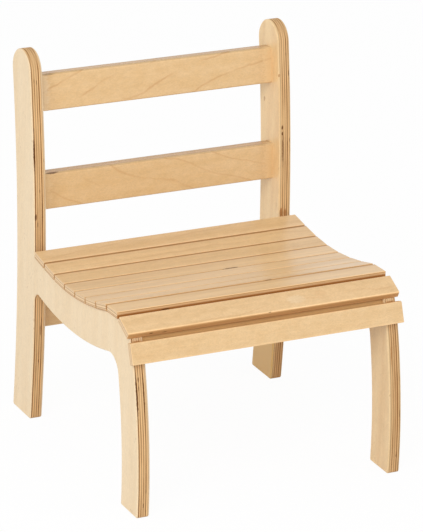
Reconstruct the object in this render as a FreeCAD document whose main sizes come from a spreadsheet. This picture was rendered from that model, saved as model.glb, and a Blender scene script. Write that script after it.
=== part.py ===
# Slatted toddler chair in birch plywood: two one-piece side frames, nine seat slats glued on flat
# seats along the frames' dished top edges, a tilted front apron, and two back rails, a rear
# stretcher and a front rail on hidden dowels. Millimetres, +Z up, +Y to the back, origin on the
# floor under the middle of the chair.
import FreeCAD
import Part
import Sketcher
import enum
import math
import os

SLAT_COUNT = 9
LOWEST_SLAT = 3
NOSE_SLAT = SLAT_COUNT
CROWN_SLAT = SLAT_COUNT - 1

# Driving dimensions: alias, value, meaning
SIZES = (
    ("frame_width", 325, "outer face to outer face of the side frames"),
    ("frame_thickness", 15, "side frame plywood"),
    ("overall_height", 432, "floor to the tops of the back posts"),
    ("frame_arris", 1.1, "broken edges of the side frames"),
    ("foot_corner", 3, "rounding of the corners of the feet"),
    ("post_width", 48, "band of the back post and rear leg"),
    ("post_rear_radius", 1700, "curve of the rear edge of post and rear leg"),
    ("post_upright_height", 122, "height at which the post band stands upright"),
    ("leg_width", 41, "band of the front leg"),
    ("leg_rear_radius", 600, "curve of the rear edge of the front leg"),
    ("leg_upright_height", 8, "height at which the front leg stands upright"),
    ("arch_height", 150, "floor to the lowest point of the arch under the seat rail"),
    ("arch_radius", 385, "curve of the seat rail's underside"),
    ("arch_forward", 8, "arch's lowest point in front of the dish's lowest line"),
    ("arch_rear_fillet", 11, "arch to rear leg"),
    ("arch_front_fillet", 22, "arch to front leg"),
    ("seat_corner", 4.5, "seat edge to back post"),
    ("seat_height", 201.5, "floor to the top of the slats along the dish's lowest line"),
    ("slat_width", 25.2, "seat slats 1 to 8"),
    ("slat_thickness", 8, "seat slat plywood"),
    ("slat_gap", 2.6, "between neighbouring slats, at the frames"),
    ("slat_overhang", 2.5, "slats 1 to 8 past the frames' outer faces"),
    ("nose_overhang", 3.4, "slat 9 and apron past the frames' outer faces"),
    ("slat_arris", 0.5, "broken edges of slats and apron"),
    ("front_rounding", 2, "rolled front edge of slat 9 and rolled top edge of the apron"),
    ("post_gap", 6.15, "rear slat to back post"),
    ("slat_1_tilt", -8.5, "rise towards the front in degrees"),
    ("slat_2_tilt", -7, "rise towards the front in degrees"),
    ("slat_3_tilt", -2.8, "rise towards the front in degrees"),
    ("slat_4_tilt", 2.4, "rise towards the front in degrees"),
    ("slat_5_tilt", 7.2, "rise towards the front in degrees"),
    ("slat_6_tilt", 11.4, "rise towards the front in degrees"),
    ("slat_7_tilt", 14.6, "rise towards the front in degrees"),
    ("slat_8_tilt", 2.6, "rise towards the front in degrees"),
    ("slat_9_tilt", -25.5, "rise towards the front in degrees"),
    ("nose_slat_width", 26, "seat slat 9"),
    ("nose_gap", 3.3, "slat 8 to slat 9, at the frames"),
    ("apron_height", 24, "front apron, along its slope"),
    ("apron_thickness", 8, "front apron plywood"),
    ("apron_tilt", 20.5, "apron from upright in degrees"),
    ("apron_drop", 4.3, "nose edge to the top of the apron"),
    ("rail_height", 42.2, "back rails and rear stretcher"),
    ("rail_thickness", 15, "plywood of the rails and the stretcher"),
    ("rail_arris", 1.1, "broken long edges of the rails"),
    ("rail_setback", 17, "post's front edge to the rails' front faces"),
    ("upper_rail_drop", 51.3, "tops of the posts to the middle of the upper back rail"),
    ("lower_rail_rise", 66.7, "lowest line of the seat to the middle of the lower back rail"),
    ("stretcher_centre", 127.5, "floor to the middle of the rear stretcher"),
    ("front_rail_height", 28, "front rail behind the apron"),
    ("front_rail_setback", 3, "apron's seat to the front rail's front face"),
    ("front_rail_room", 0.3, "front rail to the underside of the nose slat"),
    ("dowel_diameter", 8, "dowels in the rails' ends"),
    ("dowel_length", 30, "dowels in the rails' ends"),
    ("dowel_in_frame", 10, "part of a dowel inside the frame"),
    ("dowel_edge", 8, "rail's long edge to the middle of a dowel"),
    ("dowel_chamfer", 0.6, "broken edge at a dowel's ends"),
    ("dowel_clearance", 0.1, "glue room round a dowel"),
    ("dowel_end_room", 0.5, "glue room at a dowel's ends"),
)

X_AXIS = FreeCAD.Vector(1, 0, 0)
Z_AXIS = FreeCAD.Vector(0, 0, 1)
SAME_POINT = 0.01


class Spot(enum.IntEnum):
    """Points of a sketch's curve, in the sketcher's own order."""
    START = enum.auto()
    END = enum.auto()
    CENTRE = enum.auto()


class Axis(enum.IntEnum):
    """The sketch's own axes, by the sketcher's numbers for them."""
    FLOOR = -1
    UPRIGHT = -2


ORIGIN = (Axis.FLOOR, Spot.START)

doc = FreeCAD.newDocument("toddler_chair")
sheet = doc.addObject("Spreadsheet::Sheet", "Sizes")
for row, (alias, value, meaning) in enumerate(SIZES, start=1):
    sheet.set("A%d" % row, meaning)
    sheet.set("B%d" % row, str(value))
    sheet.setAlias("B%d" % row, alias)
doc.recompute()


def size(alias):
    """A driving dimension, read from the sheet."""
    return float(sheet.get(alias))


def bind(thing, target, formula):
    """Tie a property or a named constraint to a formula in the sheet's aliases, written in braces."""
    thing.setExpression(target, formula.replace("{", "Sizes.").replace("}", ""))


# Side profile, in the YZ plane with y = 0 at the dish's lowest line

def along(point, angle, length):
    """The point at a distance from another, at an angle in degrees above the +Y direction."""
    turn = math.radians(angle)
    return (point[0] + length * math.cos(turn), point[1] + length * math.sin(turn))


def tilt(number):
    """How far a slat rises towards the front, in degrees."""
    return size("slat_%d_tilt" % number)


def slat_pitch():
    """From one slat to the next, along the frames' top edge."""
    return size("slat_width") + size("slat_gap")


def seat_corners():
    """Corners of the frame's top edge: corner 9 is the nose, corner 0 meets the back post."""
    corners = {LOWEST_SLAT: (0.0, size("seat_height") - size("slat_thickness"))}
    for number in range(LOWEST_SLAT + 1, NOSE_SLAT):
        corners[number] = along(corners[number - 1], 180 - tilt(number), slat_pitch())
    nose_length = size("nose_gap") + size("nose_slat_width")
    corners[NOSE_SLAT] = along(corners[CROWN_SLAT], 180 - tilt(NOSE_SLAT), nose_length)
    for number in range(LOWEST_SLAT, 1, -1):
        corners[number - 1] = along(corners[number], -tilt(number), slat_pitch())
    rear_length = size("slat_gap") / 2 + size("slat_width") + size("post_gap")
    corners[0] = along(corners[1], -tilt(1), rear_length)
    return corners


def behind(point, centre_height, radius):
    """Centre of the circle of that radius that passes through a point and lies behind it."""
    return (point[0] + math.sqrt(radius ** 2 - (point[1] - centre_height) ** 2), centre_height)


def on_circle(centre, radius, height):
    """The point of a circle's front side at a height."""
    return (centre[0] - math.sqrt(radius ** 2 - (height - centre[1]) ** 2), height)


def meeting(centre_a, radius_a, centre_b, radius_b):
    """The lower of the two points where two circles meet."""
    dy = centre_b[0] - centre_a[0]
    dz = centre_b[1] - centre_a[1]
    apart = math.hypot(dy, dz)
    foot = (apart ** 2 + radius_a ** 2 - radius_b ** 2) / (2 * apart)
    rise = math.sqrt(radius_a ** 2 - foot ** 2)
    points = []
    for sign in (1, -1):
        y = centre_a[0] + (foot * dy - sign * rise * dz) / apart
        z = centre_a[1] + (foot * dz + sign * rise * dy) / apart
        points.append((y, z))
    return min(points, key=lambda point: point[1])


CORNERS = seat_corners()
APRON_DIRECTION = -90 - size("apron_tilt")
APRON_FOOT = along(CORNERS[NOSE_SLAT], APRON_DIRECTION, size("apron_drop") + size("apron_height"))
LEG_REAR = size("leg_rear_radius")
LEG_FRONT = LEG_REAR + size("leg_width")
LEG_CENTRE = behind(APRON_FOOT, size("leg_upright_height"), LEG_FRONT)
POST_REAR = size("post_rear_radius")
POST_FRONT = POST_REAR + size("post_width")
POST_CENTRE = behind(CORNERS[0], size("post_upright_height"), POST_FRONT)
ARCH_RADIUS = size("arch_radius")
ARCH_CENTRE = (-size("arch_forward"), size("arch_height") + ARCH_RADIUS)
TOP_RADIUS = size("post_width") / 2
TOP_CENTRE = on_circle(POST_CENTRE, POST_REAR + TOP_RADIUS, size("overall_height") - TOP_RADIUS)
FRONT_REACH = LEG_CENTRE[0] - LEG_FRONT
REAR_REACH = TOP_CENTRE[0] + TOP_RADIUS
MIDDLE = (FRONT_REACH + REAR_REACH) / 2


def in_chair(x, point):
    """A point of the side profile, in the chair's own frame."""
    return FreeCAD.Vector(x, point[0] - MIDDLE, point[1])


# Sketch and feature helpers

def origin_plane(body, role):
    return next(plane for plane in body.Origin.OriginFeatures if plane.Role == role)


def new_body(label):
    body = doc.addObject("PartDesign::Body", label)
    body.Label = label
    return body


def new_sketch(body, name):
    """A sketch on the body's YZ plane: its own axes are the chair's Y and Z."""
    sketch = body.newObject("Sketcher::SketchObject", name)
    sketch.AttachmentSupport = [(origin_plane(body, "YZ_Plane"), "")]
    sketch.MapMode = "FlatFace"
    return sketch


def drive(sketch, name, formula, kind, *where):
    """A named constraint whose value follows the sheet."""
    index = sketch.addConstraint(Sketcher.Constraint(kind, *where))
    sketch.renameConstraint(index, name)
    bind(sketch, "Constraints." + name, formula)


def new_pad(body, sketch, name, formula, symmetric):
    pad = body.newObject("PartDesign::Pad", name)
    pad.Profile = sketch
    bind(pad, "Length", formula)
    if symmetric:
        pad.SideType = "Symmetric"
    doc.recompute()
    return pad


def new_fillet(body, base, name, edges, formula):
    fillet = body.newObject("PartDesign::Fillet", name)
    fillet.Base = (base, edges)
    bind(fillet, "Radius", formula)
    doc.recompute()
    return fillet


def new_chamfer(body, base, name, edges, formula):
    chamfer = body.newObject("PartDesign::Chamfer", name)
    chamfer.Base = (base, edges)
    bind(chamfer, "Size", formula)
    doc.recompute()
    return chamfer


def all_edges(shape):
    return ["Edge%d" % index for index in range(1, len(shape.Edges) + 1)]


def edges_where(shape, test):
    """Names of the edges whose ends and middle all pass a test."""
    names = []
    for name, edge in zip(all_edges(shape), shape.Edges):
        middle = edge.valueAt((edge.FirstParameter + edge.LastParameter) / 2)
        points = [vertex.Point for vertex in edge.Vertexes] + [middle]
        if all(test(point) for point in points):
            names.append(name)
    return names


def edges_at(shape, point):
    """Names of the edges that run across the plate at a point of the side profile."""
    return edges_where(shape, lambda p: math.hypot(p.y - point[0], p.z - point[1]) < SAME_POINT)


def drill(body, holes):
    """Blind dowel holes from their entry points inwards, with glue room round and behind each dowel."""
    for number, (depth, entry, direction) in enumerate(holes, start=1):
        before = body.Shape.Volume
        hole = body.newObject("PartDesign::SubtractiveCylinder", "dowel_hole_%d" % number)
        bind(hole, "Radius", "{dowel_diameter} / 2 + {dowel_clearance}")
        bind(hole, "Height", depth + " + {dowel_end_room}")
        hole.Placement = FreeCAD.Placement(entry, FreeCAD.Rotation(Z_AXIS, direction))
        doc.recompute()
        if body.Shape.Volume >= before:
            raise RuntimeError("%s: dowel hole %d cuts nothing" % (body.Label, number))


# Places of the pieces on the side profile

def slat_seat(number):
    """Middle of a slat's seat on the frame's top edge."""
    half = size("nose_slat_width") / 2 if number == NOSE_SLAT else slat_pitch() / 2
    return along(CORNERS[number], -tilt(number), half)


def apron_seat():
    """Middle of the apron's seat on the front edge of the leg."""
    return along(CORNERS[NOSE_SLAT], APRON_DIRECTION, size("apron_drop") + size("apron_height") / 2)


def post_rail(height):
    """Middle and lean in degrees of a rail between the posts, set back from their front edges."""
    radius = POST_FRONT - size("rail_setback") - size("rail_thickness") / 2
    centre = on_circle(POST_CENTRE, radius, height)
    lean = math.degrees(math.atan2(centre[1] - POST_CENTRE[1], POST_CENTRE[0] - centre[0]))
    return centre, lean


def front_rail():
    """Middle and lean of the front rail, parallel to the apron and close under the nose slat."""
    upwards = APRON_DIRECTION + 180
    corner = math.radians(upwards + tilt(NOSE_SLAT))
    top = size("front_rail_setback") / math.tan(corner) - size("front_rail_room") / math.sin(corner)
    middle = along(CORNERS[NOSE_SLAT], upwards, top - size("front_rail_height") / 2)
    inwards = size("front_rail_setback") + size("rail_thickness") / 2
    return along(middle, upwards - 90, inwards), size("apron_tilt")


def rail_dowel_places(centre, lean, height_alias):
    """The two dowel points of a rail's end, above and below its middle."""
    half = size(height_alias) / 2 - size("dowel_edge")
    return [along(centre, 90 - lean, step) for step in (half, -half)]


# Rails between the frames: middle, lean and height
RAILS = {
    "back_rail_upper": (*post_rail(size("overall_height") - size("upper_rail_drop")), "rail_height"),
    "back_rail_lower": (*post_rail(size("seat_height") + size("lower_rail_rise")), "rail_height"),
    "rear_stretcher": (*post_rail(size("stretcher_centre")), "rail_height"),
    "front_rail": (*front_rail(), "front_rail_height"),
}


# Side frames

def arc(centre, radius, start, end):
    """An arc counter-clockwise from one point to another."""
    angles = [math.atan2(point[1] - centre[1], point[0] - centre[0]) for point in (start, end)]
    if angles[1] < angles[0]:
        angles[1] += 2 * math.pi
    circle = Part.Circle(FreeCAD.Vector(centre[0], centre[1], 0), Z_AXIS, radius)
    return Part.ArcOfCircle(circle, angles[0], angles[1])


def line(start, end):
    return Part.LineSegment(FreeCAD.Vector(start[0], start[1], 0), FreeCAD.Vector(end[0], end[1], 0))


def frame_outline(body):
    """The closed outline of a side frame, with every size bound to the sheet."""
    sketch = new_sketch(body, "frame_outline")
    lean = math.degrees(math.atan2(TOP_CENTRE[1] - POST_CENTRE[1], POST_CENTRE[0] - TOP_CENTRE[0]))
    top_front = along(TOP_CENTRE, 180 - lean, TOP_RADIUS)
    top_rear = along(TOP_CENTRE, -lean, TOP_RADIUS)
    arch_rear = meeting(POST_CENTRE, POST_FRONT, ARCH_CENTRE, ARCH_RADIUS)
    arch_front = meeting(LEG_CENTRE, LEG_REAR, ARCH_CENTRE, ARCH_RADIUS)
    front_toe = on_circle(LEG_CENTRE, LEG_FRONT, 0)
    front_heel = on_circle(LEG_CENTRE, LEG_REAR, 0)
    rear_toe = on_circle(POST_CENTRE, POST_FRONT, 0)
    rear_heel = on_circle(POST_CENTRE, POST_REAR, 0)

    leg_front = sketch.addGeometry(arc(LEG_CENTRE, LEG_FRONT, APRON_FOOT, front_toe))
    leg_rear = sketch.addGeometry(arc(LEG_CENTRE, LEG_REAR, arch_front, front_heel))
    front_foot = sketch.addGeometry(line(front_toe, front_heel))
    arch = sketch.addGeometry(arc(ARCH_CENTRE, ARCH_RADIUS, arch_front, arch_rear))
    rear_leg = sketch.addGeometry(arc(POST_CENTRE, POST_FRONT, arch_rear, rear_toe))
    rear_foot = sketch.addGeometry(line(rear_toe, rear_heel))
    rear_edge = sketch.addGeometry(arc(POST_CENTRE, POST_REAR, top_rear, rear_heel))
    post_top = sketch.addGeometry(arc(TOP_CENTRE, TOP_RADIUS, top_rear, top_front))
    post_front = sketch.addGeometry(arc(POST_CENTRE, POST_FRONT, top_front, CORNERS[0]))
    seats = {}
    for number in range(1, SLAT_COUNT + 1):
        seats[number] = sketch.addGeometry(line(CORNERS[number], CORNERS[number - 1]))
    apron = sketch.addGeometry(line(APRON_FOOT, CORNERS[NOSE_SLAT]))

    joints = [
        (front_foot, Spot.START, leg_front, Spot.END), (front_foot, Spot.END, leg_rear, Spot.END),
        (leg_rear, Spot.START, arch, Spot.START), (arch, Spot.END, rear_leg, Spot.START),
        (rear_foot, Spot.START, rear_leg, Spot.END), (rear_foot, Spot.END, rear_edge, Spot.END),
        (post_front, Spot.END, seats[1], Spot.END), (apron, Spot.END, seats[NOSE_SLAT], Spot.START),
        (apron, Spot.START, leg_front, Spot.START),
        (leg_rear, Spot.CENTRE, leg_front, Spot.CENTRE),
        (rear_leg, Spot.CENTRE, post_front, Spot.CENTRE),
        (rear_edge, Spot.CENTRE, post_front, Spot.CENTRE),
    ]
    for number in range(2, SLAT_COUNT + 1):
        joints.append((seats[number], Spot.END, seats[number - 1], Spot.START))
    for joint in joints:
        sketch.addConstraint(Sketcher.Constraint("Coincident", *joint))
    sketch.addConstraint(Sketcher.Constraint("Tangent", rear_edge, Spot.START, post_top, Spot.START))
    sketch.addConstraint(Sketcher.Constraint("Tangent", post_top, Spot.END, post_front, Spot.START))
    for foot in (front_foot, rear_foot):
        for point in (Spot.START, Spot.END):
            sketch.addConstraint(Sketcher.Constraint("PointOnObject", foot, point, Axis.FLOOR))
    lowest = (seats[LOWEST_SLAT], Spot.START)
    sketch.addConstraint(Sketcher.Constraint("PointOnObject", *lowest, Axis.UPRIGHT))
    sketch.addConstraint(Sketcher.Constraint("Equal", rear_leg, post_front))

    levels = (
        ("seat_level", "{seat_height} - {slat_thickness}", lowest, CORNERS[LOWEST_SLAT]),
        ("leg_upright", "{leg_upright_height}", (leg_front, Spot.CENTRE), LEG_CENTRE),
        ("post_upright", "{post_upright_height}", (post_front, Spot.CENTRE), POST_CENTRE),
        ("arch_rise", "{arch_height} + {arch_radius}", (arch, Spot.CENTRE), ARCH_CENTRE),
        ("top_level", "{overall_height} - {post_width} / 2", (post_top, Spot.CENTRE), TOP_CENTRE),
    )
    for name, formula, place, point in levels:
        drive(sketch, name, formula, "DistanceY", *ORIGIN, *place, point[1])
    drive(sketch, "leg_front_curve", "{leg_rear_radius} + {leg_width}", "Radius", leg_front, LEG_FRONT)
    drive(sketch, "leg_rear_curve", "{leg_rear_radius}", "Radius", leg_rear, LEG_REAR)
    drive(sketch, "post_front_curve", "{post_rear_radius} + {post_width}", "Radius", post_front, POST_FRONT)
    drive(sketch, "post_rear_curve", "{post_rear_radius}", "Radius", rear_edge, POST_REAR)
    drive(sketch, "arch_curve", "{arch_radius}", "Radius", arch, ARCH_RADIUS)
    drive(sketch, "arch_place", "{arch_forward}", "DistanceX", arch, Spot.CENTRE, *ORIGIN, -ARCH_CENTRE[0])
    lengths = {number: "{slat_width} + {slat_gap}" for number in range(2, NOSE_SLAT)}
    lengths[1] = "{slat_gap} / 2 + {slat_width} + {post_gap}"
    lengths[NOSE_SLAT] = "{nose_gap} + {nose_slat_width}"
    for number, formula in lengths.items():
        seat = seats[number]
        seat_length = math.dist(CORNERS[number], CORNERS[number - 1])
        drive(sketch, "seat_%d_length" % number, formula, "Distance", seat, seat_length)
        slope = "-{slat_%d_tilt} * 1 deg" % number
        drive(sketch, "seat_%d_angle" % number, slope, "Angle", seat, math.radians(-tilt(number)))
    apron_length = math.dist(APRON_FOOT, CORNERS[NOSE_SLAT])
    drive(sketch, "apron_length", "{apron_drop} + {apron_height}", "Distance", apron, apron_length)
    slope = "90 deg - {apron_tilt} * 1 deg"
    drive(sketch, "apron_angle", slope, "Angle", apron, math.radians(APRON_DIRECTION + 180))
    doc.recompute()
    corners = {
        "foot_corner": [front_toe, front_heel, rear_toe, rear_heel],
        "arch_rear_fillet": [arch_rear],
        "arch_front_fillet": [arch_front],
        "seat_corner": [CORNERS[0]],
    }
    return sketch, corners


def frame_holes():
    """Dowel holes in the inner face, two at the end of each rail."""
    places = [point for rail in RAILS.values() for point in rail_dowel_places(*rail)]
    inner = size("frame_thickness")
    return [("{dowel_in_frame}", FreeCAD.Vector(inner, *point), -X_AXIS) for point in places]


def side_frame(label):
    """The left frame: outline, rounded corners, broken edges and blind dowel holes."""
    body = new_body(label)
    sketch, corners = frame_outline(body)
    feature = new_pad(body, sketch, "frame_plate", "{frame_thickness}", False)
    for alias, points in corners.items():
        edges = [name for point in points for name in edges_at(feature.Shape, point)]
        feature = new_fillet(body, feature, alias + "s", edges, "{%s}" % alias)
    inner = size("frame_thickness")
    faces = edges_where(feature.Shape, lambda p: abs(p.x) < SAME_POINT)
    faces += edges_where(feature.Shape, lambda p: abs(p.x - inner) < SAME_POINT)
    new_chamfer(body, feature, "broken_edges", faces, "{frame_arris}")
    drill(body, frame_holes())
    body.Placement.Base = in_chair(-size("frame_width") / 2, (0, 0))
    return body


left_frame = side_frame("side_frame_left")
right_frame = doc.addObject("Part::Mirroring", "side_frame_right")
right_frame.Label = "side_frame_right"
right_frame.Source = left_frame
right_frame.Normal = X_AXIS
parts = [left_frame, right_frame]


# Slats and apron: strips glued to the frames

def rectangle(body, width_alias, height_alias, stands):
    """A rectangle across the upright axis, standing on the floor axis or centred on it."""
    sketch = new_sketch(body, "section")
    width, height = size(width_alias), size(height_alias)
    low = 0 if stands else -height / 2
    high = low + height
    points = [(-width / 2, low), (width / 2, low), (width / 2, high), (-width / 2, high)]
    base, right, top, left = [sketch.addGeometry(line(points[n], points[(n + 1) % 4])) for n in range(4)]
    for side, after in ((base, right), (right, top), (top, left), (left, base)):
        sketch.addConstraint(Sketcher.Constraint("Coincident", side, Spot.END, after, Spot.START))
    sketch.addConstraint(Sketcher.Constraint("Horizontal", top))
    sketch.addConstraint(Sketcher.Constraint("Vertical", left))
    sketch.addConstraint(Sketcher.Constraint("Symmetric", base, Spot.START, base, Spot.END, Axis.UPRIGHT))
    if stands:
        sketch.addConstraint(Sketcher.Constraint("Vertical", right))
        sketch.addConstraint(Sketcher.Constraint("PointOnObject", base, Spot.START, Axis.FLOOR))
    else:
        ends = (right, Spot.START, right, Spot.END)
        sketch.addConstraint(Sketcher.Constraint("Symmetric", *ends, Axis.FLOOR))
    drive(sketch, "across", "{%s}" % width_alias, "Distance", base, width)
    drive(sketch, "upwards", "{%s}" % height_alias, "Distance", right, height)
    doc.recompute()
    return sketch


def strip(label, width_alias, thickness_alias, overhang_alias, seat, turn, rolled_side=0):
    """A slat or the apron, with its underside on both frames, one edge rolled and the rest broken."""
    body = new_body(label)
    sketch = rectangle(body, width_alias, thickness_alias, True)
    feature = new_pad(body, sketch, "strip", "{frame_width} + 2 * {%s}" % overhang_alias, True)
    rim, top = size(width_alias) / 2, size(thickness_alias)
    if rolled_side:
        rolled = edges_at(feature.Shape, (rolled_side * rim, top))
        feature = new_fillet(body, feature, "rolled_edge", rolled, "{front_rounding}")
    end = size("frame_width") / 2 + size(overhang_alias)
    edges = edges_where(feature.Shape, lambda p: abs(abs(p.x) - end) < SAME_POINT)
    for corner in ((-rim, 0), (-rim, top), (rim, 0), (rim, top)):
        edges += edges_at(feature.Shape, corner)
    new_chamfer(body, feature, "broken_edges", edges, "{slat_arris}")
    body.Placement = FreeCAD.Placement(in_chair(0, seat), FreeCAD.Rotation(X_AXIS, turn))
    return body


FRONT_SIDE, TOP_SIDE = -1, 1
slat_sizes = ("slat_width", "slat_thickness", "slat_overhang")
nose_sizes = ("nose_slat_width", "slat_thickness", "nose_overhang")
apron_sizes = ("apron_height", "apron_thickness", "nose_overhang")
for number in range(1, NOSE_SLAT):
    parts.append(strip("seat_slat_%d" % number, *slat_sizes, slat_seat(number), -tilt(number)))
nose_place = (slat_seat(NOSE_SLAT), -tilt(NOSE_SLAT))
parts.append(strip("seat_slat_%d" % NOSE_SLAT, *nose_sizes, *nose_place, FRONT_SIDE))
apron_place = (apron_seat(), 90 - size("apron_tilt"))
parts.append(strip("front_apron", *apron_sizes, *apron_place, TOP_SIDE))


# Rails and stretcher, butted between the frames

def rail(label, centre, lean, height_alias):
    """A rail with two dowel holes in each end and its long edges broken."""
    body = new_body(label)
    sketch = rectangle(body, "rail_thickness", height_alias, False)
    pad = new_pad(body, sketch, "rail", "{frame_width} - 2 * {frame_thickness}", True)
    end = size("frame_width") / 2 - size("frame_thickness")
    end_edges = edges_where(pad.Shape, lambda p: abs(abs(p.x) - end) < SAME_POINT)
    long_edges = [name for name in all_edges(pad.Shape) if name not in end_edges]
    new_chamfer(body, pad, "broken_edges", long_edges, "{rail_arris}")
    half = size(height_alias) / 2 - size("dowel_edge")
    depth = "{dowel_length} - {dowel_in_frame}"
    for side in (-1, 1):
        entries = [FreeCAD.Vector(side * end, 0, level) for level in (-half, half)]
        drill(body, [(depth, entry, X_AXIS * -side) for entry in entries])
    body.Placement = FreeCAD.Placement(in_chair(0, centre), FreeCAD.Rotation(X_AXIS, -lean))
    return body


for label, place in RAILS.items():
    parts.append(rail(label, *place))


# Dowels: one blank, and a group of copies for each rail

def dowel_blank():
    """A dowel along the upright axis, with its ends chamfered."""
    body = new_body("dowel_blank")
    blank = body.newObject("PartDesign::AdditiveCylinder", "dowel")
    bind(blank, "Radius", "{dowel_diameter} / 2")
    bind(blank, "Height", "{dowel_length}")
    doc.recompute()
    top = size("dowel_length")
    ends = edges_where(blank.Shape, lambda p: min(abs(p.z), abs(p.z - top)) < SAME_POINT)
    new_chamfer(body, blank, "dowel_ends", ends, "{dowel_chamfer}")
    return body


def dowel_group(label, blank, place):
    """The four dowels of a rail, each from inside its frame into the rail."""
    start = size("frame_width") / 2 - size("frame_thickness") + size("dowel_in_frame")
    copies = []
    for side in (-1, 1):
        for point in rail_dowel_places(*place):
            copy = blank.Shape.copy()
            turn = FreeCAD.Rotation(Z_AXIS, X_AXIS * -side)
            copy.Placement = FreeCAD.Placement(in_chair(side * start, point), turn)
            copies.append(copy)
    group = doc.addObject("Part::Feature", label)
    group.Label = label
    group.Shape = Part.makeCompound(copies)
    return group


blank = dowel_blank()
for label, place in RAILS.items():
    parts.append(dowel_group(label + "_dowels", blank, place))

# Every object has to be sound before anything is written
doc.recompute()
for thing in doc.Objects:
    if "Invalid" in thing.State or "Error" in thing.State:
        raise RuntimeError("%s did not build: %s" % (thing.Label, thing.State))
for part in parts:
    if part.Shape.isNull() or not part.Shape.isValid():
        raise RuntimeError("%s has no sound shape" % part.Label)
os.makedirs("parts", exist_ok=True)
for part in parts:
    part.Shape.exportStep("parts/%s.step" % part.Label)
    print("%-26s %2d solids %10.1f mm3" % (part.Label, len(part.Shape.Solids), part.Shape.Volume))
print("overall depth %.2f mm" % (REAR_REACH - FRONT_REACH))
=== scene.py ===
"""Looks for a slatted toddler chair in clear-lacquered birch plywood.

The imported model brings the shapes. Each board gets a plywood finish that follows its own grain
and layers, and the stage is a pale floor under soft light, seen from the front left.
"""
import math
import typing

import bmesh
import bpy
from mathutils import Matrix, Vector

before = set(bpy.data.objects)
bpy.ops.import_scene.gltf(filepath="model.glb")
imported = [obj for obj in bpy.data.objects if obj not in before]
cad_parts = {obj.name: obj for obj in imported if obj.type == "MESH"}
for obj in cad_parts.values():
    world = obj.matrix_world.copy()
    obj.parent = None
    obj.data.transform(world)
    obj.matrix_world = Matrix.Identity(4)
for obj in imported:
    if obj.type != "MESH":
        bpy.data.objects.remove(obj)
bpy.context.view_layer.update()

bl_info = {
    "name": "Toddler chair finish",
    "version": (1, 0, 0),
    "blender": (4, 5, 0),
    "location": "3D View > Sidebar > Chair",
    "description": "Birch plywood finishes and a studio stage for a slatted toddler chair",
    "category": "Material",
}

MM_PER_M = 1000.0
WHITE = (1.0, 1.0, 1.0, 1.0)
DOWELLED_RAILS = ["back_rail_upper", "back_rail_lower", "rear_stretcher", "front_rail"]

# Ways in the chair's frame: two for the grain, and one to the side from which a board is seen
ALONG_WIDTH = Vector((1, 0, 0))
UPRIGHT = Vector((0, 0, 1))
SEEN_FROM = Vector((-1, -2, 4))

# How far a surface turns towards a board's broad side, from 0 to 1: where a tone starts and is full
FACE_TURN = (0.45, 0.68)
ARRIS_TURN = (0.80, 0.97)
SEAT_SHADE_TURN = (0.45, 0.60)

# Margins of a board in millimetres from its edge: where a tone starts and is full
FRONT_HIGHLIGHT_MARGIN = (2.6, 1.0)
REAR_MARGIN = (2.2, 1.2)
TOP_MARGIN = (1.9, 1.1)
BELOW_TOP_MARGIN = (3.6, 2.6)
INNER_MARGIN = (3.2, 1.8)

# Length over which the painted shade line under the slats ends, in millimetres
SEAT_SHADE_FADE = 8.0

# Heights on a slat's edge as shares of its thickness, 0 at the middle: where a tone starts and ends
SIDE_FOOT_BAND = (-0.02, 0.12)
SIDE_HEAD_BAND = (0.26, 0.34)
END_FOOT_BAND = (-0.40, -0.26)

# How much the painted highlights lighten a margin and the painted shade darkens one
FRONT_HIGHLIGHT_LIFT = 0.09
BELOW_TOP_HIGHLIGHT = 0.04
SEAT_SHADE_DEPTH = 0.6

# Spots: size of their ragged rims in millimetres, how ragged they are, and where they fade and end
RIM_SIZE = (3.0, 1.5, 0.8)
RAGGEDNESS = 1.4
SPOT_FADE = (0.25, 1.0)

# Lacquer and bare wood
COAT_ROUGHNESS = 0.30
WOOD_SPECULAR = 0.12
EDGE_ROUGHER = 0.16
FACE_SMOOTHER = 0.12
FIBRE_ROUGHER = 0.10
PORE_HEIGHT = 1.5

# Stage
LIGHT_AIM = Vector((0, 0, 0.2))
SENSOR_MM = 36
FLOOR_ROUGHNESS = 0.9
FLOOR_SPECULAR = 0.1


class Mark(typing.NamedTuple):
    """A spot in the wood or a spot of painted light or shade, in millimetres: a point of the chair, how
    far the spot reaches along the grain, across it and through the layers, and which of the wood's colours
    it has."""
    point: tuple
    reach: tuple
    strength: float
    tint: str = "edge_void"


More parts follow.
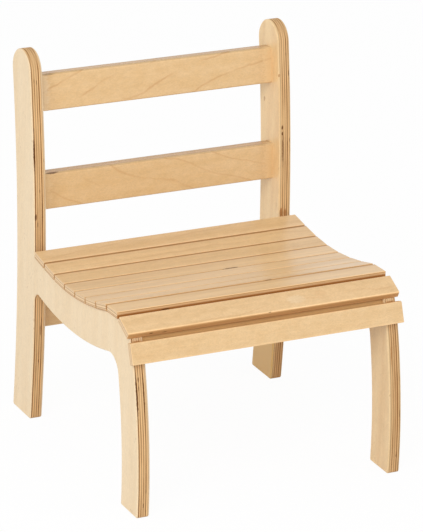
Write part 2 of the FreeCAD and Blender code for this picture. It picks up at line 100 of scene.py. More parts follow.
MARKS = {
    "side_frame_left": (
        # Gaps in the layers of the post's, the front leg's and the rear leg's front edges
        Mark((-160.7, 116.0, 320.0), (26.0, 9.0, 1.40), 1.00),
        Mark((-160.2, 109.0, 247.0), (5.0, 7.0, 1.50), 1.00),
        Mark((-152.2, 110.0, 252.0), (24.0, 9.0, 0.80), 0.70),
        Mark((-160.4, -163.0, 140.0), (32.0, 14.0, 1.35), 1.00),
        Mark((-152.2, -163.0, 140.0), (30.0, 14.0, 1.10), 0.85),
        Mark((-157.7, -163.0, 157.0), (3.5, 14.0, 1.10), 0.80),
        Mark((-153.2, 104.6, 112.0), (9.0, 6.0, 0.75), 0.75),
        # Painted highlight on the nose under the seat's front edge, and painted shade of the gap to the
        # apron below it
        Mark((-155.0, -146.0, 197.8), (2.2, 6.0, 6.0), 0.35, "left_veneer"),
        Mark((-155.0, -146.6, 194.8), (2.0, 3.0, 5.0), 0.70, "burn_and_shade"),
    ),
    "side_frame_right": (
        # Gaps and burns on the post's front edge
        Mark((151.5, 114.9, 313.0), (3.0, 8.0, 1.30), 1.00),
        Mark((151.5, 114.3, 306.0), (2.5, 8.0, 1.20), 0.95),
        Mark((152.0, 112.3, 288.0), (26.0, 8.0, 1.15), 0.85),
        Mark((150.6, 107.0, 212.0), (6.5, 8.0, 2.40), 0.85, "burn_and_shade"),
        Mark((155.6, 107.0, 211.0), (5.5, 8.0, 2.20), 0.80, "burn_and_shade"),
        # Small knots on the post's inner face
        Mark((147.5, 154.6, 336.1), (4.0, 2.2, 2.0), 0.55, "burn_and_shade"),
        Mark((148.2, 123.2, 374.1), (2.4, 1.6, 2.0), 0.60, "burn_and_shade"),
        # Painted highlight on the nose under the seat's front edge, and painted shade of the gap to the
        # apron below it
        Mark((155.0, -146.0, 197.8), (2.2, 6.0, 6.0), 0.60, "right_veneer"),
        Mark((155.0, -146.6, 194.8), (2.0, 3.0, 5.0), 0.70, "burn_and_shade"),
        # Rear leg: painted shade in an amber tone on its inner face, and in brown on its edge
        Mark((147.5, 132.0, 30.0), (120.0, 60.0, 2.5), 0.90, "amber_shade"),
        Mark((157.0, 110.0, 20.0), (90.0, 40.0, 8.0), 0.35, "burn_and_shade"),
        # Front leg: browner layers and two gaps on its edge, and painted shade all over
        Mark((156.0, -165.0, 75.0), (120.0, 40.0, 4.0), 0.25, "burn_and_shade"),
        Mark((151.6, -163.0, 138.0), (15.0, 10.0, 0.9), 0.75, "burn_and_shade"),
        Mark((157.4, -176.3, 21.1), (2.5, 6.0, 0.8), 0.90),
        Mark((155.0, -145.0, 80.0), (170.0, 80.0, 60.0), 0.10),
    ),
    # One streak across the joint of slats 4 and 5, and short gaps on the front edges of 7 and 8
    "seat_slat_4": (Mark((28.0, -7.3, 202.2), (11.0, 1.1, 1.5), 0.70),),
    "seat_slat_5": (Mark((28.0, -8.7, 202.8), (10.0, 0.8, 1.5), 0.35),),
    "seat_slat_7": (Mark((33.0, -87.6, 217.4), (6.0, 1.4, 0.8), 0.50),),
    "seat_slat_8": (Mark((-107.0, -117.0, 214.9), (6.5, 3.0, 0.9), 1.00),),
    "seat_slat_9": (
        # Two gaps on the front edge, then a pale and a darker spot on the face
        Mark((-122.0, -146.5, 201.6), (4.0, 3.0, 0.6), 0.90),
        Mark((4.7, -147.7, 206.0), (2.0, 3.0, 0.5), 0.60),
        Mark((42.0, -137.0, 212.0), (13.0, 7.0, 4.0), 0.35, "left_veneer"),
        Mark((73.0, -134.0, 213.4), (9.0, 6.0, 4.0), 0.22, "slat_side"),
    ),
    # Painted light at both ends, against the shade where the rail meets the posts, and a short gap at the
    # left of the top edge
    "back_rail_upper": (
        Mark((150.0, 141.0, 383.0), (16.0, 60.0, 10.0), 0.50, "right_veneer"),
        Mark((-148.0, 141.0, 384.0), (18.0, 60.0, 10.0), 0.60, "left_veneer"),
        Mark((-133.0, 144.3, 401.8), (9.0, 1.6, 1.5), 0.40),
    ),
    "back_rail_lower": (
        Mark((150.0, 128.0, 270.0), (16.0, 60.0, 10.0), 0.50, "right_veneer"),
        Mark((-148.0, 128.0, 272.0), (18.0, 60.0, 10.0), 0.50, "right_veneer"),
        Mark((-132.0, 130.2, 289.6), (9.0, 2.0, 1.5), 0.80),
    ),
}


class Timber(typing.NamedTuple):
    """How one kind of board looks. Apart from the colours, the layers and the notes below, a value
    is a strength from 0, which leaves the thing out, to about 1."""
    veneer: tuple
    band: tuple
    plies: int
    # The face: growth lines and how steeply they cross the grain, flecks, patches, streaks, lacquer
    lines: float = 0.0
    slope: float = 0.0
    flecks: float = 0.0
    mottled: float = 0.0
    streaks: float = 0.0
    coat: float = 0.60
    # A slat's face: strength of the painted highlight on its arrises, and painted gap shade at its rear
    # margin
    arris: float = 1.25
    rear_line: float = 0.0
    # A rail's face: painted shade at its top margin, as of a rounded arris, with a faint painted highlight
    # below it
    top_arris_shade: float = 0.0
    # The edges: lacquer, slat finish in place of bare layers, a side's own colour and brightness,
    # a dark seam band at the head of a side, and painted shade at the foot of a side and of an end
    edge_coat: float = 0.0
    slat_like: float = 0.0
    side: tuple = ()
    side_tone: float = 1.0
    side_head: float = 0.0
    side_foot: float = 0.0
    end_foot: float = 0.0
    # A frame's edges: paler towards the inner face, which lies at +1 or -1 through the layers,
    # and a painted shade line under the slats up to this height over the board's middle, in millimetres
    pale_arris: float = 0.0
    inner_side: float = 1.0
    seat_shade_height: float = 0.0


def colour_property(name, description, default):
    """A colour that a user may change, in linear light."""
    return bpy.props.FloatVectorProperty(
        name=name, description=description, default=default, subtype="COLOR", size=3, min=0, max=1)


def length_property(name, description, default):
    """A length that a user may change, in metres."""
    return bpy.props.FloatProperty(
        name=name, description=description, default=default, unit="LENGTH", subtype="DISTANCE", min=0)


def place_property(name, description, default):
    """A place that a user may change, in metres."""
    return bpy.props.FloatVectorProperty(
        name=name, description=description, default=default, size=3, subtype="TRANSLATION", unit="LENGTH")


def power_property(name, description, default):
    """A light's power that a user may change, in watts."""
    return bpy.props.FloatProperty(
        name=name, description=description, default=default, unit="POWER", min=0)


def share_property(name, description, default):
    """A share from 0 to 1 that a user may change."""
    return bpy.props.FloatProperty(
        name=name, description=description, default=default, subtype="FACTOR", min=0, max=1)


class ChairWood(bpy.types.PropertyGroup):
    """Colours and layers of the plywood."""
    left_veneer: colour_property("Left frame veneer", "Face of the left frame", (0.835, 0.655, 0.425))
    left_band: colour_property("Left frame bands", "Warmer bands in the left frame", (0.78, 0.585, 0.35))
    right_veneer: colour_property("Right frame veneer", "Face of the right frame", (0.88, 0.655, 0.37))
    right_band: colour_property("Right frame bands", "Warmer bands in the right frame", (0.75, 0.50, 0.25))
    slat_veneer: colour_property("Slat veneer", "Face of the slats", (0.785, 0.53, 0.275))
    slat_band: colour_property("Slat bands", "Warmer bands in slats and apron", (0.67, 0.43, 0.20))
    slat_end: colour_property("Slat ends", "Sanded ends of slats and apron", (0.80, 0.60, 0.38))
    slat_side: colour_property("Slat sides", "Long edges of the slats", (0.61, 0.325, 0.125))
    step_side: colour_property("Side of slat 8", "Front edge of slat 8", (0.90, 0.575, 0.285))
    rail_veneer: colour_property("Rail veneer", "Face of the rails and the apron", (0.75, 0.515, 0.27))
    rail_band: colour_property("Rail bands", "Warmer bands in the rails", (0.68, 0.44, 0.20))
    front_veneer: colour_property("Front rail veneer", "Face of the front rail", (0.67, 0.405, 0.165))
    growth: colour_property("Growth lines", "Lines where the veneer cuts a year ring", (0.50, 0.23, 0.07))
    fleck: colour_property("Flecks", "Short brown marks in the veneer", (0.33, 0.17, 0.07))
    edge_long: colour_property("Edge, long grain", "Layers that run along an edge", (0.785, 0.508, 0.25))
    edge_end: colour_property("Edge, end grain", "Layers cut across at an edge", (0.29, 0.13, 0.042))
    edge_void: colour_property("Edge, gaps", "Open gaps in the inner layers", (0.12, 0.042, 0.010))
    # Real burns, knots and joints, and also the colour of painted shade in slat gaps, under slat ends and
    # on the frames
    burn_and_shade: colour_property("Burns", "Brown of saw marks, knots and dark joints", (0.40, 0.165, 0.045))
    # Amber: the tone of painted shade on the right rear leg's inner face
    amber_shade: colour_property("Amber", "Deeper lacquer on the right rear leg", (0.87, 0.555, 0.20))
    dowel: colour_property("Dowels", "Raw beech dowels", (0.62, 0.41, 0.22))
    frame_plies: bpy.props.IntProperty(
        name="Frame layers", description="Layers in the frames and rails", default=11, min=3)
    slat_plies: bpy.props.IntProperty(
        name="Slat layers", description="Layers in the slats and the apron", default=3, min=3)
    roughness: share_property("Roughness", "Roughness of the wood under the clear lacquer", 0.40)


class ChairStudio(bpy.types.PropertyGroup):
    """Floor, light and camera."""
    floor: colour_property("Floor", "Pale studio floor", (0.95, 0.95, 0.95))
    floor_size: length_property("Floor size", "Side of the square floor", 24.0)
    floor_white: share_property("Floor white", "White in the floor as seen; the rest shows shadow", 0.955)
    sky: bpy.props.FloatProperty(
        name="Surrounding light", description="Strength of the even light from all sides",
        default=0.65, min=0)
    light_size: length_property("Light size", "Side of the two square lights", 2.2)
    key_power: power_property("Key light", "Power of the light at the front left", 62.0)
    key_place: place_property("Key place", "Where the light at the front left hangs", (-2.2, -1.9, 2.4))
    fill_power: power_property("Fill light", "Power of the light at the front right", 16.0)
    fill_place: place_property("Fill place", "Where the light at the front right hangs", (2.4, -2.2, 1.6))
    camera_place: place_property("Camera place", "Where the camera stands", (-1.76277, -3.42175, 1.73139))
    camera_turn: bpy.props.FloatVectorProperty(
        name="Camera turn", description="Camera's turn about X, Y and Z",
        default=(1.193277, -0.037453, -0.462545), size=3, subtype="EULER", unit="ROTATION")
    lens: bpy.props.FloatProperty(
        name="Lens", description="Focal length on a 36 mm frame along the picture's height",
        default=250.364, unit="CAMERA", min=1)


class Wire:
    """A socket of a node tree. Sums with wires add the nodes that work them out."""

    def __init__(self, tree, socket=None):
        self.tree = tree
        self.socket = socket

    def node(self, kind, settings=None, sockets=None, output=0):
        """Adds a node: its settings first, then the values or links of its inputs."""
        new = self.tree.nodes.new(kind)
        for name, value in (settings or {}).items():
            setattr(new, name, value)
        for key, value in (sockets or {}).items():
            if isinstance(value, Wire):
                value.feed(new.inputs[key])
            else:
                new.inputs[key].default_value = value
        return Wire(self.tree, new.outputs[output])

    def feed(self, target):
        """Links this socket to an input."""
        self.tree.links.new(self.socket, target)

    def maths(self, operation, *values):
        """The result of one Math node."""
        return self.node("ShaderNodeMath", {"operation": operation}, dict(enumerate(values)))

    def __add__(self, other):
        return self.maths("ADD", self, other)

    def __radd__(self, other):
        return self.maths("ADD", other, self)

    def __sub__(self, other):
        return self.maths("SUBTRACT", self, other)

    def __rsub__(self, other):
        return self.maths("SUBTRACT", other, self)

    def __mul__(self, other):
        return self.maths("MULTIPLY", self, other)

    def __rmul__(self, other):
        return self.maths("MULTIPLY", other, self)

    def __truediv__(self, other):
        return self.maths("DIVIDE", self, other)

    def __rtruediv__(self, other):
        return self.maths("DIVIDE", other, self)

    def __abs__(self):
        return self.maths("ABSOLUTE", self)

    def step(self, low, high):
        """0 below low, 1 above high, and a smooth rise between them."""
        ranges = {"interpolation_type": "SMOOTHSTEP"}
        return self.node("ShaderNodeMapRange", ranges, {0: self, 1: low, 2: high})

    def mixed(self, first, second):
        """A colour between two, with this value as the share of the second. Inputs 6 and 7 and
        output 2 are the node's colour sockets."""
        return self.node("ShaderNodeMix", {"data_type": "RGBA"}, {0: self, 6: first, 7: second}, 2)

    def dimmed(self, share):
        """This colour times a value."""
        return self.node("ShaderNodeVectorMath", {"operation": "SCALE"}, {"Vector": self, "Scale": share})

    def vector(self, x, y, z):
        """A vector of three values."""
        return self.node("ShaderNodeCombineXYZ", None, {0: x, 1: y, 2: z})

    def parts(self):
        """The three numbers of a vector."""
        split = self.node("ShaderNodeSeparateXYZ", None, {0: self})
        return [Wire(self.tree, output) for output in split.socket.node.outputs]

    def cloud(self, x, y, z, detail=2.0, rough=0.5):
        """Smooth noise of unit size, about 0 to 1."""
        sockets = {"Vector": self.vector(x, y, z), "Scale": 1.0, "Detail": detail, "Roughness": rough}
        return self.node("ShaderNodeTexNoise", None, sockets)


def opaque(colour):
    """A colour with full alpha, as a node's socket takes it."""
    return (*colour, 1.0)


def new_material(name):
    """A new node material, its start wire and its shader."""
    material = bpy.data.materials.new(name)
    material.use_nodes = True
    tree = material.node_tree
    return material, Wire(tree), tree.nodes["Principled BSDF"]


def wear(node_name, material):
    """Puts a finish on a node's own material slots."""
    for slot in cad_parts[node_name].material_slots:
        slot.material = material


class Board:
    """How a flat board lies: its grain, the way across and its layers, read from its mesh."""

    def __init__(self, node_name, grain):
        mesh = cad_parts[node_name].data
        # Faces whose normals agree to two digits are one side, and the largest is a broad one
        sides = {}
        for polygon in mesh.polygons:
            key = tuple(round(value, 2) for value in polygon.normal)
            sides.setdefault(key, Vector()).xyz += polygon.normal * polygon.area
        normal = max(sides.values(), key=lambda side: side.length).normalized()
        if normal.dot(SEEN_FROM) < 0:
            normal.negate()
        self.axes = (grain, normal.cross(grain).normalized(), normal)
        reach = [[axis.dot(vertex.co) for vertex in mesh.vertices] for axis in self.axes]
        self.centre = [(min(values) + max(values)) / 2 * MM_PER_M for values in reach]
        self.width, self.thickness = [(max(values) - min(values)) * MM_PER_M for values in reach[1:]]

    def local(self, point):
        """A point of the chair, in millimetres, as the board's own coordinates."""
        return [axis.dot(Vector(point)) - middle for axis, middle in zip(self.axes, self.centre)]

    def coordinates(self, start):
        """Wires for the place on the board, in millimetres, and for the way its surface faces."""
        turn = Matrix(self.axes).to_euler()
        place = start.node("ShaderNodeTexCoord", output="Object")
        place = start.node("ShaderNodeMapping", None, {
            "Vector": place, "Location": [-value for value in self.centre],
            "Rotation": turn, "Scale": [MM_PER_M] * 3})
        facing = start.node("ShaderNodeTexCoord", output="Normal")
        facing = start.node(
            "ShaderNodeMapping", {"vector_type": "VECTOR"}, {"Vector": facing, "Rotation": turn})
        return place.parts(), facing.parts()


def grain_noise(start, place, seed, length, width, detail=2.0, rough=0.5):
    """Noise on a board, about 0 to 1, with its size along the grain and across it in millimetres.
    Numbers added to a seed keep the noises of one board apart."""
    return start.cloud(place[0] / length, place[1] / width, seed, detail, rough)


def solid_noise(start, place, size, rough=0.5):
    """Noise through a piece, about 0 to 1, with its size on each axis in millimetres."""
    x, y, z = (value / reach for value, reach in zip(place, size))
    return start.cloud(x, y, z, rough=rough)


def growth_lines(start, place, seed, slope):
    """Thin lines that cross a flat-cut veneer in long slanting bows, and fade out in places."""
    along, across, _ = place
    spacing = 28
    line_width = 0.07
    bow = grain_noise(start, place, seed, length=95, width=60, detail=1.0) * 1.1
    ripple = grain_noise(start, place, seed + 8.8, length=9, width=9) * 0.14
    field = (across - along * slope) / spacing + bow + ripple + seed
    near = abs(start.maths("FRACT", field) - 0.5)
    line = 1 - near.step(0.0, line_width)
    # Shifted, so that where lines show has nothing to do with their bows
    apart = 31
    shown = start.cloud(along / 60 + apart, across / 30, seed).step(0.34, 0.58)
    return line * shown


def flecks(start, place, seed):
    """Short brown marks along the grain, few and far between."""
    spots = grain_noise(start, place, seed + 7.7, length=5.5, width=1.6, detail=0.0)
    places = grain_noise(start, place, seed + 3.1, length=28, width=22, detail=0.0)
    return spots.step(0.70, 0.78) * places.step(0.66, 0.72)


def veneer(start, place, timber, seed):
    """Colour of a board's broad faces, and the fibres for roughness and bump."""
    wood = bpy.context.scene.chair_wood
    band = grain_noise(start, place, seed, length=240, width=13).step(0.32, 0.72)
    patch = grain_noise(start, place, seed + 2.9, length=14, width=9, detail=3.0, rough=0.65)
    band_share = 0.75 - 0.40 * timber.mottled
    patch_share = 0.45 * timber.mottled
    share = band * band_share + patch.step(0.30, 0.70) * patch_share
    colour = share.mixed(opaque(timber.veneer), opaque(timber.band))
    fibre = grain_noise(start, place, seed + 1.3, length=16, width=0.55, detail=3.0, rough=0.6)
    mottle = grain_noise(start, place, seed + 5.9, length=9, width=4, detail=4.0, rough=0.65)
    speck = grain_noise(start, place, seed + 4.3, length=2.2, width=1.1, rough=0.7)
    fibre_depth = 0.12 - 0.07 * timber.mottled
    speck_depth = 0.17 + 0.17 * timber.mottled
    mottle_depth = 0.17
    lowest = 1 - (fibre_depth + speck_depth + mottle_depth) / 2
    colour = colour.dimmed(lowest + fibre * fibre_depth + mottle * mottle_depth + speck * speck_depth)
    if timber.streaks:
        streak = grain_noise(start, place, seed + 6.6, length=150, width=3.4, detail=3.0, rough=0.6)
        colour = colour.dimmed(1 - timber.streaks / 2 + streak * timber.streaks)
    if timber.lines:
        line = growth_lines(start, place, seed, timber.slope)
        colour = (line * timber.lines).mixed(colour, opaque(wood.growth))
    if timber.flecks:
        mark = flecks(start, place, seed)
        colour = (mark * timber.flecks).mixed(colour, opaque(wood.fleck))
    return colour, fibre


def seam_and_shade_bands(depth, over_side, over_end, timber, thickness, colour):
    """An edge's colour with a dark seam band at the head of a side, and painted shade bands at the foot of
    a side, where the slat in front shades it, and at the foot of an end, where it sits on the frame.
    """
    burn_and_shade = opaque(bpy.context.scene.chair_wood.burn_and_shade)

    def above(band):
        low, high = band
        return depth.step(low * thickness, high * thickness)

    # The foot of a side and the foot of an end get painted shade; the head of a side gets a dark ply seam
    colour = (over_side * (1 - above(SIDE_FOOT_BAND)) * timber.side_foot).mixed(colour, burn_and_shade)
    colour = (over_side * above(SIDE_HEAD_BAND) * timber.side_head).mixed(colour, burn_and_shade)
    return (over_end * (1 - above(END_FOOT_BAND)) * timber.end_foot).mixed(colour, burn_and_shade)


def layers(start, place, facing, timber, thickness, seed):
    """Colour of a board's edges: layers that run along the edge or end at it, glue lines and gaps.
    Also the pores for the bump."""
    depth = place[2]
    wood = bpy.context.scene.chair_wood
    # Which layer this is, counted from one face, with a little wandering
    wander = 0.5
    drift = grain_noise(start, place, seed + 2.2, length=60, width=60, detail=1.0)
    level = (depth / thickness + 0.5) * timber.plies + drift * wander - wander / 2
    number = start.maths("FLOOR", level)
    crossed = start.maths("FLOORED_MODULO", number, 2)
    # Every other layer shows end grain on the sides, and the rest on the ends
    over_end = facing[0] * facing[0]
    over_side = facing[1] * facing[1]
    end_grain = over_end + crossed * (over_side - over_end)
    # Each layer has a tone of its own, and every third crossed one is darker
    tone_seed = number * 3.7 + seed
    tone = grain_noise(start, place, tone_seed, length=40, width=40).step(0.28, 0.72)
    turn = (number - timber.plies + 2) * (math.tau / 6)
    third = start.maths("COSINE", turn) * 0.5 + 0.5
    pore_seed = depth / 0.4 + seed
    pores = grain_noise(start, place, pore_seed, length=1.1, width=1.1, rough=0.7)
    darkness = 0.22 + tone * 0.52 + third * 0.48
    colour = (end_grain * darkness).mixed(opaque(wood.edge_long), opaque(wood.edge_end))
    # The two outer layers are the veneers of the faces
    half = timber.plies / 2
    outer = abs(number - (timber.plies - 1) / 2).step(half - 0.9, half - 0.6)
    colour = (outer * (1 - end_grain) * 0.7).mixed(colour, opaque(timber.veneer))
    colour = colour.dimmed(0.80 + tone * 0.24 + pores * 0.16)
    colour = (over_side * timber.slat_like).mixed(colour, opaque(timber.side or wood.slat_side))
    colour = (over_end * timber.slat_like).mixed(colour, opaque(wood.slat_end))
    # Glue lines between layers, and gaps inside crossed ones; inside is 0 at a glue line
    inside = 0.5 - abs(level - number - 0.5)
    seam = 1 - inside.step(0.03, 0.15)
    colour = colour.dimmed(1 - seam * tone * 0.55)
    colour = (seam * over_end * (timber.slat_like * 0.8)).mixed(colour, opaque(wood.burn_and_shade))
    hollow_seed = number * 5.3 + seed + 9.4
    hollow = grain_noise(start, place, hollow_seed, length=15, width=15, detail=1.0)
    gap = hollow.step(0.66, 0.74) * inside.step(0.08, 0.2) * crossed * (1 - over_end)
    colour = (gap * 0.8).mixed(colour, opaque(wood.edge_void))
    colour = seam_and_shade_bands(depth, over_side, over_end, timber, thickness, colour)
    return colour.dimmed(1 - over_side * (1 - timber.side_tone)), pores


def margin(value, half, fade):
    """1 at a board's edge, half its size from the middle, and 0 further in than the fade."""
    outermost, full = fade
    return value.step(half - outermost, half - full)


def slat_margins(place, facing, on_face, board, timber, colour):
    """A slat's face with a painted highlight on its front margin and arrises, and a painted shade line at
    its rear margin where the gap to the next slat shades it.
    """
    burn_and_shade = opaque(bpy.context.scene.chair_wood.burn_and_shade)
    arris = on_face * (1 - abs(facing[2]).step(*ARRIS_TURN))
    front_highlight = margin(-1 * place[1], board.width / 2, FRONT_HIGHLIGHT_MARGIN)
    rear = margin(place[1], board.width / 2, REAR_MARGIN)
    # Painted highlights: lighter on the front margin and on the arrises
    colour = colour.dimmed(1 + front_highlight * FRONT_HIGHLIGHT_LIFT + arris * (timber.arris - 1 - FRONT_HIGHLIGHT_LIFT))
    # Painted shade of the gap along the rear margin
    return (rear * timber.rear_line).mixed(colour, burn_and_shade)


def rail_margins(place, board, timber, colour):
    """A rail's face with a painted shade line at its top margin, as if its arris were more rounded, and a
    faint painted highlight below it.
    """
    top = margin(place[1], board.width / 2, TOP_MARGIN)
    below = margin(place[1], board.width / 2, BELOW_TOP_MARGIN) * (1 - top)
    return colour.dimmed(1 - top * timber.top_arris_shade + below * BELOW_TOP_HIGHLIGHT)


def painted_seat_shade(place, facing, timber, colour):
    """A frame's colour with a painted shade line on the arrises under the slats, where their overhang
    shades them.
    """
    arris = facing[0].step(*SEAT_SHADE_TURN) * abs(facing[2]).step(*SEAT_SHADE_TURN)
    below_post = 1 - place[0].step(timber.seat_shade_height, timber.seat_shade_height + SEAT_SHADE_FADE)
    return colour.dimmed(1 - arris * below_post * SEAT_SHADE_DEPTH)


def marked(start, place, board, marks, colour):
    """A board's colour with its listed spots, ragged at their rims: marks in the wood, and painted light
    and shade.
    """
    wood = bpy.context.scene.chair_wood
    ragged = solid_noise(start, place, RIM_SIZE) * RAGGEDNESS - RAGGEDNESS / 2
    for mark in marks:
        away = ragged
        for value, middle, reach in zip(place, board.local(mark.point), mark.reach):
            offset = (value - middle) / reach
            away = away + offset * offset
        spot = 1 - away.step(*SPOT_FADE)
        colour = (spot * mark.strength).mixed(colour, opaque(getattr(wood, mark.tint)))
    return colour


def plywood(node_name, grain, timber, seed):
    """Finishes one plywood board, with veneer on its broad faces and layers on its edges."""
    material, start, shader = new_material(node_name + "_finish")
    wood = bpy.context.scene.chair_wood
    board = Board(node_name, grain)
    place, facing = board.coordinates(start)
    on_face = abs(facing[2]).step(*FACE_TURN)
    face_colour, fibre = veneer(start, place, timber, seed)
    edge_colour, pores = layers(start, place, facing, timber, board.thickness, seed)
    # Painted highlights at a slat's front and arrises, and painted gap shade at its rear
    if timber.slat_like:
        face_colour = slat_margins(place, facing, on_face, board, timber, face_colour)
    # Painted shade at a rail's top margin and a faint painted highlight below it
    if timber.top_arris_shade:
        face_colour = rail_margins(place, board, timber, face_colour)
    if timber.pale_arris:
        near = margin(place[2] * timber.inner_side, board.thickness / 2, INNER_MARGIN)
        edge_colour = (near * timber.pale_arris).mixed(edge_colour, opaque(timber.veneer))
    colour = on_face.mixed(edge_colour, face_colour)
    # Painted shade line on the frame's arrises under the slats
    if timber.seat_shade_height:
        colour = painted_seat_shade(place, facing, timber, colour)
    colour = marked(start, place, board, MARKS.get(node_name, ()), colour)
    rough = wood.roughness + EDGE_ROUGHER - on_face * FACE_SMOOTHER + fibre * FIBRE_ROUGHER
    height = fibre * on_face + pores * (1 - on_face) * PORE_HEIGHT
    bump = start.node("ShaderNodeBump", None, {"Strength": 0.22, "Distance": 0.00012, "Height": height})
    coat = timber.edge_coat + on_face * (timber.coat - timber.edge_coat)
    colour.feed(shader.inputs["Base Color"])
    rough.feed(shader.inputs["Roughness"])
    bump.feed(shader.inputs["Normal"])
    coat.feed(shader.inputs["Coat Weight"])
    shader.inputs["Coat Roughness"].default_value = COAT_ROUGHNESS
    shader.inputs["Specular IOR Level"].default_value = WOOD_SPECULAR
    wear(node_name, material)


def turned_beech(name):
    """Raw beech with short pale rays, for the dowels."""
    material, start, shader = new_material(name)
    wood = bpy.context.scene.chair_wood
    place = start.node("ShaderNodeTexCoord", output="Object")
    place = [part * MM_PER_M for part in place.parts()]
    ray = solid_noise(start, place, size=(2.4, 0.5, 0.5), rough=0.6)
    shade = solid_noise(start, place, size=(30, 2, 2))
    colour = ray.step(0.55, 0.7).mixed(opaque(wood.dowel), opaque(wood.edge_long))
    colour = colour.dimmed(0.8 + shade * 0.3)
    rough = 0.6 + ray * 0.2
    bump = start.node("ShaderNodeBump", None, {"Strength": 0.3, "Distance": 0.0002, "Height": ray})
    colour.feed(shader.inputs["Base Color"])
    rough.feed(shader.inputs["Roughness"])
    bump.feed(shader.inputs["Normal"])
    return material


class CHAIR_OT_side_frames(bpy.types.Operator):
    """Finish the two side frames, with upright grain"""
    bl_idname = "chair.side_frames"
    bl_label = "Side frames"

    def execute(self, context):
        wood = context.scene.chair_wood
        left = Timber(
            wood.left_veneer, wood.left_band, wood.frame_plies, flecks=0.5, mottled=0.5,
            pale_arris=0.4, inner_side=-1.0, seat_shade_height=12.0)
        right = left._replace(
            veneer=wood.right_veneer, band=wood.right_band, pale_arris=0.5, inner_side=1.0)
        plywood("side_frame_left", UPRIGHT, left, seed=11.3)
        plywood("side_frame_right", UPRIGHT, right, seed=15.4)
        return {"FINISHED"}


class CHAIR_OT_seat_slats(bpy.types.Operator):
    """Finish the nine seat slats, each with its own grain"""
    bl_idname = "chair.seat_slats"
    bl_label = "Seat slats"

    def execute(self, context):
        wood = context.scene.chair_wood
        plain = Timber(
            wood.slat_veneer, wood.slat_band, wood.slat_plies, lines=0.2, slope=0.05, streaks=0.22,
            coat=0.75, arris=1.08, slat_like=0.85, side_tone=0.95, end_foot=0.75)
        figured = plain._replace(mottled=0.7)
        shaded = figured._replace(rear_line=0.85)
        streaky = plain._replace(streaks=0.60)
        timbers = {
            "seat_slat_1": figured,
            "seat_slat_2": shaded,
            "seat_slat_3": shaded,
            "seat_slat_4": plain._replace(rear_line=0.85, streaks=0.45),
            "seat_slat_5": streaky,
            "seat_slat_6": streaky,
            "seat_slat_7": streaky,
            "seat_slat_8": plain._replace(
                arris=1.2, rear_line=0.45,
                side=wood.step_side, side_tone=1.0, side_head=0.60, side_foot=1.0),
            "seat_slat_9": plain._replace(
                mottled=1.0, streaks=0.10, arris=1.25, side_tone=1.04, end_foot=0.0),
        }
        for index, (name, timber) in enumerate(timbers.items()):
            plywood(name, ALONG_WIDTH, timber, seed=23.7 + index * 6.3)
        return {"FINISHED"}


class CHAIR_OT_front_apron(bpy.types.Operator):
    """Finish the apron under the front edge of the seat"""
    bl_idname = "chair.front_apron"
    bl_label = "Front apron"

    def execute(self, context):
        wood = context.scene.chair_wood
        timber = Timber(
            wood.rail_veneer, wood.slat_band, wood.slat_plies, lines=0.08, slope=0.2, mottled=1.0,
            streaks=0.10, slat_like=0.85)
        plywood("front_apron", ALONG_WIDTH, timber, seed=91.9)
        return {"FINISHED"}


class CHAIR_OT_back_rails(bpy.types.Operator):
    """Finish the two back rails, with bowed growth lines"""
    bl_idname = "chair.back_rails"
    bl_label = "Back rails"

    def execute(self, context):
        wood = context.scene.chair_wood
        upper = Timber(
            wood.rail_veneer, wood.rail_band, wood.frame_plies, lines=0.42, slope=0.32, mottled=1.0,
            top_arris_shade=0.18, edge_coat=0.60)
        lower = upper._replace(lines=0.30, slope=-0.42)
        plywood("back_rail_upper", ALONG_WIDTH, upper, seed=57.1)
        plywood("back_rail_lower", ALONG_WIDTH, lower, seed=66.0)
        return {"FINISHED"}


class CHAIR_OT_hidden_rails(bpy.types.Operator):
    """Finish the rear stretcher and the front rail, both under the seat"""
    bl_idname = "chair.hidden_rails"
    bl_label = "Rails under the seat"

    def execute(self, context):
        wood = context.scene.chair_wood
        rear = Timber(wood.rail_veneer, wood.rail_band, wood.frame_plies, lines=0.3, slope=0.3)
        front = rear._replace(veneer=wood.front_veneer, band=wood.slat_side, lines=0.0, coat=0.0)
        plywood("rear_stretcher", ALONG_WIDTH, rear, seed=77.3)
        plywood("front_rail", ALONG_WIDTH, front, seed=83.0)
        return {"FINISHED"}


class CHAIR_OT_dowels(bpy.types.Operator):
    """Finish the hidden dowels of the rails"""
    bl_idname = "chair.dowels"
    bl_label = "Dowels"

    def execute(self, context):
        finish = turned_beech("dowel_finish")
        for name in DOWELLED_RAILS:
            wear(name + "_dowels", finish)
        return {"FINISHED"}


def seen_directly(start):
    """1 where the camera, a reflection or clear glass shows the background."""
    paths = start.node("ShaderNodeLightPath").socket.node.outputs
    camera = Wire(start.tree, paths["Is Camera Ray"])
    glossy = Wire(start.tree, paths["Is Glossy Ray"])
    through = Wire(start.tree, paths["Is Transmission Ray"])
    return start.maths("MINIMUM", camera + glossy + through, 1.0)


def pale_floor(studio):
    """A wide floor that shows white to the camera, with the chair's shadow on it."""
    mesh = bpy.data.meshes.new("floor")
    shape = bmesh.new()
    bmesh.ops.create_grid(shape, x_segments=1, y_segments=1, size=studio.floor_size / 2)
    shape.to_mesh(mesh)
    shape.free()
    floor = bpy.data.objects.new("floor", mesh)
    bpy.context.scene.collection.objects.link(floor)
    material, start, shader = new_material("floor_finish")
    shader.inputs["Base Color"].default_value = opaque(studio.floor)
    shader.inputs["Roughness"].default_value = FLOOR_ROUGHNESS
    shader.inputs["Specular IOR Level"].default_value = FLOOR_SPECULAR
    lit = Wire(start.tree, shader.outputs[0])
    glow = start.node("ShaderNodeEmission", None, {"Color": WHITE, "Strength": 1.0})
    share = seen_directly(start) * studio.floor_white
    mixed = start.node("ShaderNodeMixShader", None, {0: share, 1: lit, 2: glow})
    mixed.feed(start.tree.nodes["Material Output"].inputs["Surface"])
    mesh.materials.append(material)


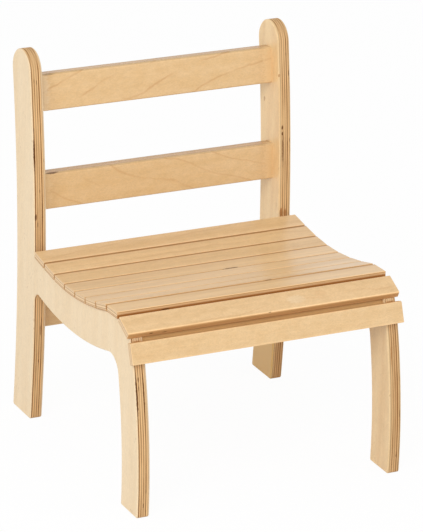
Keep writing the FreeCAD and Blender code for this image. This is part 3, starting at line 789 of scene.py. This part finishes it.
def even_sky(studio):
    """Even light from all sides, white where it is seen."""
    world = bpy.data.worlds.new("studio")
    world.use_nodes = True
    start = Wire(world.node_tree)
    sky = world.node_tree.nodes["Background"]
    sky.inputs["Color"].default_value = WHITE
    strength = studio.sky + seen_directly(start) * (1.0 - studio.sky)
    strength.feed(sky.inputs["Strength"])
    bpy.context.scene.world = world


def soft_light(name, place, power, size):
    """A square light that faces the middle of the chair."""
    lamp = bpy.data.lights.new(name, "AREA")
    lamp.shape = "SQUARE"
    lamp.size = size
    lamp.energy = power
    light = bpy.data.objects.new(name, lamp)
    light.location = place
    light.rotation_euler = (LIGHT_AIM - Vector(place)).to_track_quat("-Z", "Y").to_euler()
    bpy.context.scene.collection.objects.link(light)


class CHAIR_OT_stage(bpy.types.Operator):
    """Set up the floor, the light and the camera"""
    bl_idname = "chair.stage"
    bl_label = "Stage"

    def execute(self, context):
        scene = context.scene
        studio = scene.chair_studio
        pale_floor(studio)
        even_sky(studio)
        soft_light("key_light", studio.key_place, studio.key_power, studio.light_size)
        soft_light("fill_light", studio.fill_place, studio.fill_power, studio.light_size)
        camera = bpy.data.objects.new("camera", bpy.data.cameras.new("camera"))
        camera.location = studio.camera_place
        camera.rotation_euler = studio.camera_turn
        camera.data.sensor_width = SENSOR_MM
        camera.data.lens = studio.lens
        scene.collection.objects.link(camera)
        scene.camera = camera
        scene.view_settings.view_transform = "Standard"
        return {"FINISHED"}


OPERATORS = (
    CHAIR_OT_side_frames,
    CHAIR_OT_seat_slats,
    CHAIR_OT_front_apron,
    CHAIR_OT_back_rails,
    CHAIR_OT_hidden_rails,
    CHAIR_OT_dowels,
    CHAIR_OT_stage,
)


class CHAIR_PT_finish(bpy.types.Panel):
    """The chair's finishes and stage"""
    bl_label = "Toddler chair"
    bl_space_type = "VIEW_3D"
    bl_region_type = "UI"
    bl_category = "Chair"

    def draw(self, context):
        layout = self.layout
        for group in (context.scene.chair_wood, context.scene.chair_studio):
            for name in group.__annotations__:
                layout.prop(group, name)
        for operator in OPERATORS:
            layout.operator(operator.bl_idname)


CLASSES = (ChairWood, ChairStudio, *OPERATORS, CHAIR_PT_finish)


def register():
    for item in CLASSES:
        bpy.utils.register_class(item)
    bpy.types.Scene.chair_wood = bpy.props.PointerProperty(type=ChairWood)
    bpy.types.Scene.chair_studio = bpy.props.PointerProperty(type=ChairStudio)


def unregister():
    del bpy.types.Scene.chair_studio
    del bpy.types.Scene.chair_wood
    for item in reversed(CLASSES):
        bpy.utils.unregister_class(item)


def main():
    """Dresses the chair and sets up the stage."""
    register()
    bpy.ops.chair.side_frames()
    bpy.ops.chair.seat_slats()
    bpy.ops.chair.front_apron()
    bpy.ops.chair.back_rails()
    bpy.ops.chair.hidden_rails()
    bpy.ops.chair.dowels()
    bpy.ops.chair.stage()


if __name__ == "__main__":
    main()
